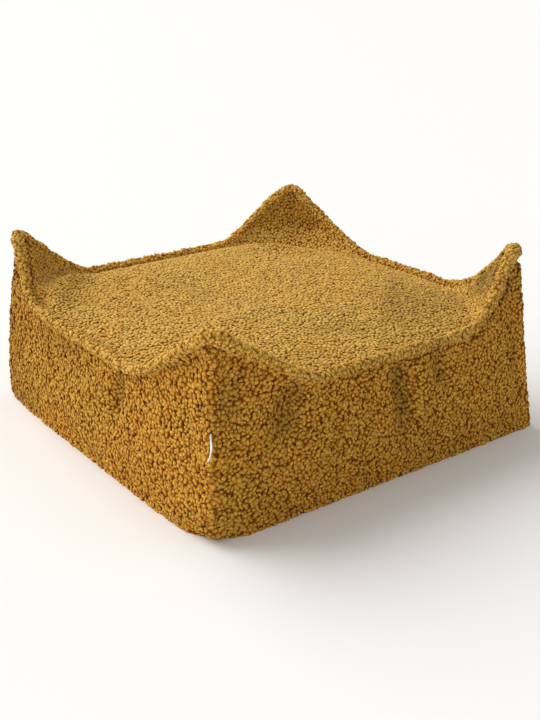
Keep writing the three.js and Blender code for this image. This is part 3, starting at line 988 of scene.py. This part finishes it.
def joined(first, second, name):
    bm = bmesh.new()
    bm.from_mesh(first.data)
    bm.from_mesh(second.data)
    mesh = bpy.data.meshes.new(name)
    bm.to_mesh(mesh)
    bm.free()
    for old in (first, second):
        bpy.data.objects.remove(old)
    return pieceOf(mesh, name)


rolls = []
for side in range(4):
    tube = makeRoll(side)
    curls = growPile(f"roll_{sides[side]['name']}_curls", tube, roundCurls, rollPile, 0, 60 + 10 * side)
    rolls.append(joined(tube, curls, f"teddy_roll_{sides[side]['name']}"))
    forget(rolls[-1].data, "fromRoll", "panel", "boxPlace")
    layOutRoll(rolls[-1], side)
print("rolls", {roll.name: len(roll.data.polygons) for roll in rolls})

for kinds in (roundCurls, flatCurls):
    for shape in list(kinds.objects):
        bpy.data.objects.remove(shape)
    bpy.data.collections.remove(kinds)


# The label is a strip of ribbon folded double, its fold outwards, its ends in the corner seam
label = {
    "height": 31,
    "reach": 10,
    "thickness": 0.6,
    "apart": 1.0,  # between the two layers' middles
    "bottom": 117,
    "clear": 0.33,  # of the seam
    "bow": 3.5,
    "swing": 1.8,
    "back": 0.6,
    "bend": 0.06,  # of the ribbon, each way from its fold
    "cells": (24, 18),
    "seamSamples": 200,
    "ribScale": 100,  # ribs of the weave 3 mm apart
}


def makeLabel():
    bm = bmesh.new()
    bmesh.ops.create_grid(bm, x_segments=label["cells"][0], y_segments=label["cells"][1], size=1)
    rise = np.linspace(0, 1, label["seamSamples"])
    seam = sidePoint(0, np.full_like(rise, -1), rise)
    outward = cornerOutward(0)
    across = np.array([-outward[1], outward[0], 0])
    for vert in bm.verts:
        outer, share = 1 - abs(vert.co.x), (vert.co.y + 1) / 2
        bend = max(0, 1 - abs(vert.co.x) / label["bend"])
        height = label["bottom"] + label["height"] * share
        place = np.array([np.interp(height, seam[:, 2], seam[:, axis]) for axis in range(3)])
        out = label["clear"] + (label["reach"] - label["apart"] / 2) * outer
        bow = label["bow"] * (1 - (2 * share - 1) ** 2) + label["swing"] * (2 * share - 1) - label["back"]
        aside = math.copysign(label["apart"] / 2, vert.co.x) * math.sqrt(max(0, 1 - bend**2))
        vert.co = Vector((place + out * outward + (bow * outer + aside) * across) * mm)
    piece = pieceOf(meshOf(bm, "side_label_ribbon"), "side_label_ribbon")
    modifier = piece.modifiers.new("weave", "SOLIDIFY")
    modifier.thickness = label["thickness"] * mm
    modifier.offset = 0
    applied(piece)
    return piece


ribbon = makeLabel()


def linear(code):
    channels = [int(code[k:k + 2], 16) / 255 for k in (0, 2, 4)]
    return (*(c / 12.92 if c <= 0.04045 else ((c + 0.055) / 1.055) ** 2.4 for c in channels), 1)


def newMaterial(name):
    material = bpy.data.materials.new(name)
    material.use_nodes = True
    material.node_tree.nodes.clear()
    return material, material.node_tree


def addShader(tree, inputs):
    shader = addNode(tree, "ShaderNodeBsdfPrincipled", inputs, "BSDF")
    addNode(tree, "ShaderNodeOutputMaterial", {"Surface": shader})


# Teddy cloth: a knitted polyester ground with curled pile. Each curl is gold on top and deep orange brown in
# the crevices between the curls, partly the fibres' own colour and partly a painted highlight on top and
# painted shade in the crevices. On the seat it is worn softer and paler, partly painted sheen where the
# light grazes it, along the roll it is palest, partly a painted highlight, and under the pouf it is pressed
# flat.
teddy = {
    "sides": {
        "root": "955411", "middle": "b17c20", "tip": "d6a546", "stops": (0.2, 0.6, 1.0), "sheen": 0.15,
    },
    "seat": {
        "root": "ad7d2f", "middle": "c6983f", "tip": "dcb262", "stops": (0.2, 0.5, 1.0), "sheen": 0.3,
    },
    "deeper": (1.0, 0.82, 0.4),  # painted shade: what the seat's colour is multiplied by inside an ear
    "roll": {
        "root": "b07e2e", "middle": "c6983f", "tip": "deb45f", "stops": (0.1, 0.5, 1.0), "sheen": 0.3,
    },
    "crevice": 0.5,  # curls meet about this high, and painted shade is darkest from there down
    "tone": (0.84, 1.14),
    "warm": (1.02, 0.965, 0.8),  # some patches are more orange, and some more olive
    "olive": (0.98, 1.0, 0.92),
    "patch": 110,
    "fibre": 1.5,
    "fray": 0.3,  # the fibres' share in a curl's colour
    "fibreTone": (0.8, 1.22),
    "fibreDepth": 0.45,
    "noise": (0.35, 0.65),  # most of a noise lies in this
    "relief": 0.8,
    "roughness": 0.85,
    "sheenRoughness": 0.5,
    "sheenTint": "f2cf86",
    "specular": 0.15,
    "pressed": 6.5,  # curls on the underside, which are pressed flat
    "pressedCell": (0.1, 0.75),
    "pressedRise": (1.0, 0.45),
    "pressedDepth": 1.5,
}


def noiseOf(tree, place, width, roughness):
    inputs = {"Vector": place, "Scale": 1 / (width * mm), "Detail": 2.0, "Roughness": roughness}
    return addNode(tree, "ShaderNodeTexNoise", inputs, "Fac", noise_dimensions="3D")


# What a colour is multiplied by, from one to another with a share
def tintOf(tree, share, first, second):
    inputs = {"Factor": share, "A": (*first, 1), "B": (*second, 1)}
    return addNode(tree, "ShaderNodeMix", inputs, "Result", data_type="RGBA")


def makeTeddy(name, look, pressed=False):
    material, tree = newMaterial(name)
    place = addNode(tree, "ShaderNodeTexCoord", {}, "Object")
    rise, tone, shade, deeper = (addNode(tree, "ShaderNodeAttribute", {}, "Fac", attribute_name=kept)
                                 for kept in ("rise", "tone", "shade", "deeper"))
    if pressed:
        inputs = {"Vector": place, "Scale": 1 / (teddy["pressed"] * mm)}
        cells = addNode(tree, "ShaderNodeTexVoronoi", inputs, voronoi_dimensions="3D")
        rise = mapRange(tree, cells.outputs["Distance"], *teddy["pressedCell"], *teddy["pressedRise"])
        tone = cells.outputs["Color"]
    fibres = noiseOf(tree, place, teddy["fibre"], 0.6)
    patches = noiseOf(tree, place, teddy["patch"], 0.5)
    bare = mapRange(tree, rise, teddy["crevice"], 1.0)
    frayed = mathNode(tree, "MULTIPLY_ADD", fibres, teddy["fray"], bare)
    ramp = addNode(tree, "ShaderNodeValToRGB", {"Fac": frayed})
    stops = ramp.color_ramp.elements
    stops[0].position, stops[0].color = look["stops"][0], linear(look["root"])
    stops[1].position, stops[1].color = look["stops"][2], linear(look["tip"])
    stops.new(look["stops"][1]).color = linear(look["middle"])
    patch = tintOf(tree, mapRange(tree, patches, *teddy["noise"]), teddy["warm"], teddy["olive"])
    tinted = vectorNode(tree, "MULTIPLY", ramp.outputs["Color"], patch)
    # painted shade inside an ear is more deeply coloured
    tinted = vectorNode(tree, "MULTIPLY", tinted, tintOf(tree, deeper, (1, 1, 1), teddy["deeper"]))
    level = mapRange(tree, tone, 0.0, 1.0, *teddy["tone"])
    strand = mapRange(tree, fibres, *teddy["noise"], *teddy["fibreTone"])
    level = mathNode(tree, "MULTIPLY", level, strand)
    # painted shade darkens the colour, and shade below 0 is painted light
    level = mathNode(tree, "MULTIPLY", level, mathNode(tree, "SUBTRACT", 1.0, shade))
    inputs = {"Height": fibres, "Strength": teddy["relief"], "Distance": teddy["fibreDepth"] * mm}
    if pressed:
        curls = {"Height": rise, "Strength": teddy["relief"], "Distance": teddy["pressedDepth"] * mm}
        inputs["Normal"] = addNode(tree, "ShaderNodeBump", curls, "Normal")
    addShader(tree, {
        "Base Color": vectorNode(tree, "SCALE", tinted, level),
        "Normal": addNode(tree, "ShaderNodeBump", inputs, "Normal"),
        "Roughness": teddy["roughness"],
        "Sheen Weight": look["sheen"],
        "Sheen Roughness": teddy["sheenRoughness"],
        "Sheen Tint": linear(teddy["sheenTint"]),
        "Specular IOR Level": teddy["specular"],
    })
    return material


# Woven polyester ribbon: faint ribs, off-white, with a slight gloss
def makeRibbonMaterial():
    material, tree = newMaterial("woven_polyester_ribbon")
    place = addNode(tree, "ShaderNodeTexCoord", {}, "Object")
    turned = addNode(tree, "ShaderNodeMapping", {"Vector": place, "Rotation": (0, 0, math.pi / 4)}, "Vector")
    inputs = {"Vector": turned, "Scale": label["ribScale"], "Distortion": 0.4}
    ribs = addNode(tree, "ShaderNodeTexWave", inputs, "Fac", bands_direction="Z")
    inputs = {"Factor": ribs, "A": linear("efede8"), "B": linear("fbfaf8")}
    relief = {"Height": ribs, "Strength": 0.5, "Distance": 0.1 * mm}
    addShader(tree, {
        "Base Color": addNode(tree, "ShaderNodeMix", inputs, "Result", data_type="RGBA"),
        "Normal": addNode(tree, "ShaderNodeBump", relief, "Normal"),
        "Roughness": 0.6,
    })
    return material


sideCloth = makeTeddy("curled_polyester_teddy", teddy["sides"])
seatCloth = makeTeddy("seat_teddy_worn_and_painted_sheen", teddy["seat"])
rollCloth = makeTeddy("pale_roll_teddy_painted_highlight", teddy["roll"])
baseCloth = makeTeddy("pressed_polyester_teddy", teddy["sides"], pressed=True)
for pieces, look in (([cloth, *piles[:4]], sideCloth), (piles[4:], seatCloth), (rolls, rollCloth)):
    for piece in pieces:
        piece.data.materials.clear()
        piece.data.materials.append(look)
ribbon.data.materials.append(makeRibbonMaterial())
cloth.data.materials.append(baseCloth)
panels = read(cloth.data.attributes["panel"].data, "value", kind=np.int32)
cloth.data.polygons.foreach_set("material_index", (panels == 5).astype(np.int32))
forget(cloth.data, "panel", "boxPlace", "fromSeam", "fromRoll")

for piece in [cloth, *piles, *rolls, ribbon]:
    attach(piece, "root")
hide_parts("pouf_body")
for piece, side in zip(rolls, sides):
    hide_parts(f"roll_{side['name']}")
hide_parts("side_label")
print("materials and frame done")

# A white studio: one broad soft light from the upper left and behind, a weak one from the left that
# brings out the folds in the front, and the rest from all round
studio = {
    "camera": (-0.879626, -1.208447, 0.680885),
    "forward": (0.554100, 0.745144, -0.371125),
    "lens": 51.5,
    "floor": "f4f3f0",
    "floorRoughness": 0.9,
    "floorSize": 40,
    "around": 0.5,
    "key": (-0.36, 0.84, 0.75),
    "keyStrength": 2.85,
    "keySpread": 60,  # degrees across, as seen from the pouf
    "fill": (-0.97, -0.1, 0.2),
    "fillStrength": 0.45,
    "fillSpread": 40,
}


def makeStudio():
    scene = bpy.context.scene
    camera = bpy.data.objects.new("camera", bpy.data.cameras.new("camera"))
    camera.data.lens = studio["lens"]
    camera.location = studio["camera"]
    camera.rotation_euler = Vector(studio["forward"]).to_track_quat("-Z", "Y").to_euler()
    scene.collection.objects.link(camera)
    scene.camera = camera
    for name in ("key", "fill"):
        light = bpy.data.objects.new(f"{name}_light", bpy.data.lights.new(f"{name}_light", "SUN"))
        light.data.angle = math.radians(studio[f"{name}Spread"])
        light.data.energy = studio[f"{name}Strength"]
        light.rotation_euler = (-Vector(studio[name])).to_track_quat("-Z", "Y").to_euler()
        scene.collection.objects.link(light)
    world = bpy.data.worlds.new("studio")
    world.use_nodes = True
    inputs = world.node_tree.nodes["Background"].inputs
    inputs["Color"].default_value = (1, 1, 1, 1)
    inputs["Strength"].default_value = studio["around"]
    scene.world = world
    scene.view_settings.view_transform = "Standard"
    bm = bmesh.new()
    bmesh.ops.create_grid(bm, x_segments=2, y_segments=2, size=studio["floorSize"] / 2)
    floor = pieceOf(meshOf(bm, "floor"), "floor")
    paint = bpy.data.materials.new("matt_paint")
    paint.use_nodes = True
    inputs = paint.node_tree.nodes["Principled BSDF"].inputs
    inputs["Base Color"].default_value = linear(studio["floor"])
    inputs["Roughness"].default_value = studio["floorRoughness"]
    floor.data.materials.append(paint)


makeStudio()
